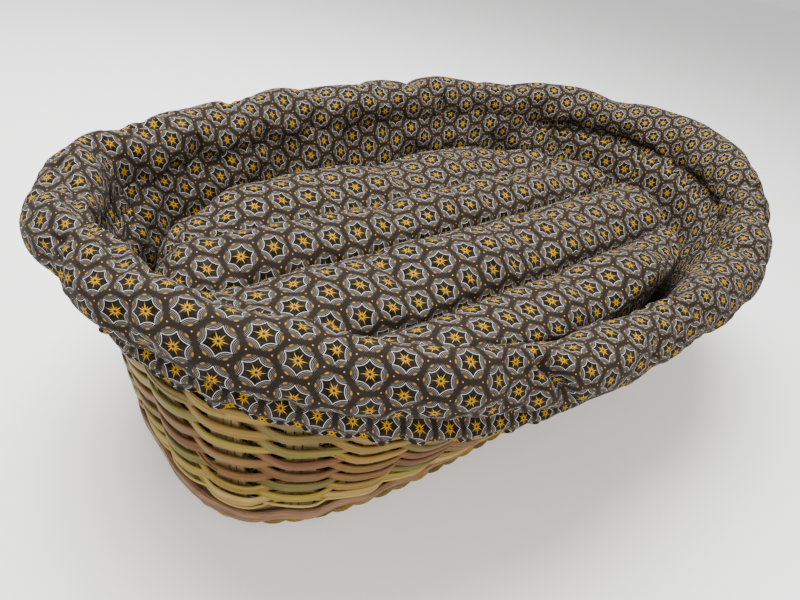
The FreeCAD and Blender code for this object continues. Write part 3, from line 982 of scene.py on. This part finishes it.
def wall_backing():
    """The plain cloth behind the padded wall."""
    pairs = [ring_pairs("wall_backing", low).mean(1) for low in (False, True)]
    top, foot = (closed_spline(p, AROUND) for p in pairs)
    rows = [top * (1 - share) + foot * share for share in np.linspace(0, 1, 10)]
    made, height, length = cloth_ring("backing_cloth", rows, 0.0009, ("wall_backing",))


FLOOR_STEPS = 200  # steps round the floor's edge
FLOOR_ROWS = 16  # and from its edge to its middle
FLOOR_THICK = 0.001


def floor_lining():
    """The liner's floor, a flat oval of cloth whose edge turns up to the seam at the wall's foot."""
    edge = closed_spline(stations(corner_points("floor_lining"), 2).mean(1), FLOOR_STEPS)
    reach = np.linspace(1, 0.002, FLOOR_ROWS)[None, :]
    rows = edge[:, None, :] * np.stack([reach, reach, reach * 0 + 1], 2)
    turn = np.linspace(0, 1, FLOOR_STEPS, endpoint=False)[:, None]
    rows[:, :, 2] += 0.0003 * ripple(turn, (17, 29, 41), 33) * reach
    seam = closed_spline(ring_pairs("wall_lining", True)[:, 0], FLOOR_STEPS)
    seam = seam + unit(seam * [1, 1, 0]) * 0.002 + UP * 0.002
    rows = np.concatenate([seam[:, None, :], rows], 1)
    border = float(np.linalg.norm(seam - edge, axis=1).mean())
    half = UP * FLOOR_THICK / 2
    points = np.concatenate([rows + half, rows[:, ::-1] - half], 1)
    faces, _ = ring_faces(points.shape[1], FLOOR_STEPS)
    flat = points.reshape(-1, 3)
    uv = [flat[i][:2] for f in faces for i in f]
    made = mesh_object("floor_cloth", flat, faces, uv)
    finish_piece(made, PRINT, "printed_cotton", "liner", "floor_lining")
    after = np.roll(edge, -1, 0)
    area = float((edge[:, 0] * after[:, 1] - edge[:, 1] * after[:, 0]).sum() / 2)
    area += border * float(ring_steps(edge).sum())


roll()
liner_wall()
skirt()
wall_backing()
floor_lining()


# -------- the cushion

SEAMS = (-0.090, 0.0, 0.067)
SEAM_Z = 0.146
CROWN_Z = 0.169
EDGE_ROUND = 0.030  # the radius at which the top's edge turns down
BORDER_Z = SEAM_Z - 0.022  # and the height at which it joins the side
SIDE_HEIGHTS = (0.094, 0.062, 0.036)
PER_CHANNEL = 16  # steps across a channel
ALONG = 130  # places along a channel
CUSHION_PITCH = 0.0275  # from star to star on the cushion


def cushion_reach(height):
    """The CAD cushion's half length and half width at a height, from the levels that have whole outlines."""
    corners = corner_points("cushion_cover")
    heights, counts = np.unique(corners[:, 2], return_counts=True)
    heights = heights[counts >= 60]
    reach = np.array([np.abs(corners[corners[:, 2] == level, :2]).max(0) for level in heights])
    return np.array([np.interp(height, heights, reach[:, side]) for side in (0, 1)])


def channel_section(half_wide):
    """Across the top: places, heights, how near to a seam each is (0 to 1), and the seams' own rows."""
    edges = [-half_wide, *SEAMS, half_wide]
    last = len(SEAMS)
    rows_y, rows_z, near_seam, seam_rows = [], [], [], []
    for number, (start, end) in enumerate(zip(edges[:-1], edges[1:])):
        middle, half = (start + end) / 2, (end - start) / 2
        for turn in np.linspace(math.pi, 0, PER_CHANNEL + 1)[min(number, 1):]:
            lift = max(math.sin(turn), 0.0) ** 0.75
            at_border = (number == 0 and turn > math.pi / 2) or (number == last and turn < math.pi / 2)
            rows_y.append(middle + half * math.cos(turn))
            rows_z.append(SEAM_Z + (CROWN_Z - SEAM_Z) * lift - (0.012 * (1 - lift) if at_border else 0.0))
            near_seam.append(1 - lift)
        if number < last:
            seam_rows.append(len(rows_y) - 1)
    return np.array(rows_y), np.array(rows_z), np.array(near_seam), seam_rows


def cushion_top(half_long, half_wide):
    """The top as a grid of points, each point's place on the flat cloth, and the seams' rows."""
    rows_y, rows_z, near_seam, seam_rows = channel_section(half_wide)
    slope = running(np.hypot(np.diff(rows_y), np.diff(rows_z)))
    share = np.clip(np.abs(rows_y) / (half_wide * 1.004), 0, 1)
    notch = np.max([np.exp(-((slope - slope[seam]) / 0.012) ** 2) for seam in seam_rows], axis=0)
    reach = np.maximum(half_long * (1 - share**2.5) ** (1 / 2.5), 0.05) - 0.006 * notch
    bend = np.linspace(-1, 1, ALONG)
    spread = np.sign(bend) * (1 - (1 - np.abs(bend)) ** 1.25)
    x = spread[:, None] * reach[None, :]
    y = np.broadcast_to(rows_y, x.shape)
    inset = reach[None, :] - np.abs(x)
    level = np.sqrt(EDGE_ROUND**2 - np.clip(EDGE_ROUND - inset, 0, EDGE_ROUND) ** 2)
    shallow = (CROWN_Z - SEAM_Z) * 0.55 * near_seam[None, :] * (1 - soft_step(inset, 0.0, 0.075))
    z = np.broadcast_to(rows_z, x.shape) + shallow
    drop = np.minimum(EDGE_ROUND - level, z - BORDER_Z)
    z = z - drop
    lengthwise = soft_step(half_wide - np.abs(rows_y), 0.0, 0.03)
    along = x + np.sign(x) * drop * lengthwise
    across = slope + np.sign(rows_y) * drop * (1 - lengthwise)
    phase, down = (x / half_long + 1) / 2, slope[None, :] * 4
    swell = 0.0028 * crumple(phase, down, (2, 3, 5), 51) + 0.0011 * crumple(phase, down, (9, 13, 19), 52)
    z = z + swell * (1 - near_seam[None, :]) + 0.0015 * crumple(phase, down * 0, (4, 7), 53)
    pucker = crumple(phase, 0 * down, (24, 33, 41), 54) * near_seam[None, :] * (1 - near_seam[None, :]) * 4
    z = z + 0.0012 * pucker
    return np.stack([x, y, z], 2), np.stack([along, across], 2), seam_rows


def cushion():
    """One sewn cover: a thick oval whose top is stitched down into four puffed channels."""
    low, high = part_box("cushion_cover")
    half_long, half_wide = high.x - 0.004, high.y - 0.003
    top, cloth, seam_rows = cushion_top(half_long, half_wide)
    count = top.shape[1]
    grid = np.arange(ALONG * count).reshape(ALONG, count)
    border = np.concatenate([grid[:, 0], grid[-1, 1:], grid[-2::-1, -1], grid[0, -2:0:-1]])
    top = top.reshape(-1, 3)

    def lowered(points, height):
        sides = points[:, :2] * (cushion_reach(height) - 0.002) / (half_long, half_wide)
        return np.column_stack([sides, np.full(len(points), height)])

    skins, rings, total = [top], [border], len(top)
    for height in SIDE_HEIGHTS:
        skins.append(lowered(top[border], height))
        rings.append(total + np.arange(len(border)))
        total += len(border)
    skins.append(lowered(top, low.z + 0.001))
    rings.append(total + border)
    points = np.vstack(skins)
    scale = PRINT_PITCH / CUSHION_PITCH
    cloth = cloth.reshape(-1, 2) * scale
    faces, uv = [], []
    for i in range(ALONG - 1):
        for j in range(count - 1):
            quad = [grid[i, j], grid[i + 1, j], grid[i + 1, j + 1], grid[i, j + 1]]
            for corners, start in ((quad, 0), (quad[::-1], total)):
                faces.append([start + corner for corner in corners])
                uv += [cloth[corner] for corner in corners]
    lengths = arc_lengths(points[border])
    lengths = np.append(lengths, lengths[-1] + 0.004)
    for upper, lower in zip(rings[:-1], rings[1:]):
        for k in range(len(border)):
            after = (k + 1) % len(border)
            corners = [upper[after], upper[k], lower[k], lower[after]]
            faces.append(corners)
            uv += [(lengths[place] * scale, points[corner, 2] * scale)
                   for place, corner in zip((k + 1, k, k, k + 1), corners)]
    made = mesh_object("cushion_pad", points, faces, uv)
    pinned = np.zeros(len(points), bool)
    pinned[grid[4:-4, seam_rows]] = True
    for ring in rings[1:]:
        pinned[ring] = True
    pinned[total:] = True
    run_cloth(made, pinned, 2.0, 0.04, 0.3, 0.006)
    subdivide(made)
    finish_piece(made, PRINT, "printed_cotton", "cushion", "cushion_cover", "cushion_filling")


cushion()


# -------- floor and light


def soft_light(name, place, target, size, power, tone=(1.0, 1.0, 1.0)):
    data = bpy.data.lights.new(name, "AREA")
    data.shape = "DISK"
    data.size = size
    data.energy = power
    data.color = tone
    lamp = new_object(name, data)
    lamp.location = place
    lamp.rotation_euler = (Vector(target) - Vector(place)).to_track_quat("-Z", "Y").to_euler()


def studio():
    points = [(-6, -6, 0), (6, -6, 0), (6, 6, 0), (-6, 6, 0)]
    ground = mesh_object("floor", points, [(0, 1, 2, 3)])
    paint(ground, floor_material())
    world = bpy.data.worlds.new("studio")
    bpy.context.scene.world = world
    world.use_nodes = True
    sky = world.node_tree.nodes["Background"].inputs
    sky["Color"].default_value = (1.0, 1.0, 1.0, 1.0)
    sky["Strength"].default_value = 0.80
    soft_light("key", (-0.75, -0.95, 1.05), (0, 0, 0.10), 0.5, 16.0, (1.0, 0.96, 0.90))
    soft_light("top", (-0.10, 0.40, 1.60), (0, 0.1, 0.15), 1.3, 80.0)


studio()
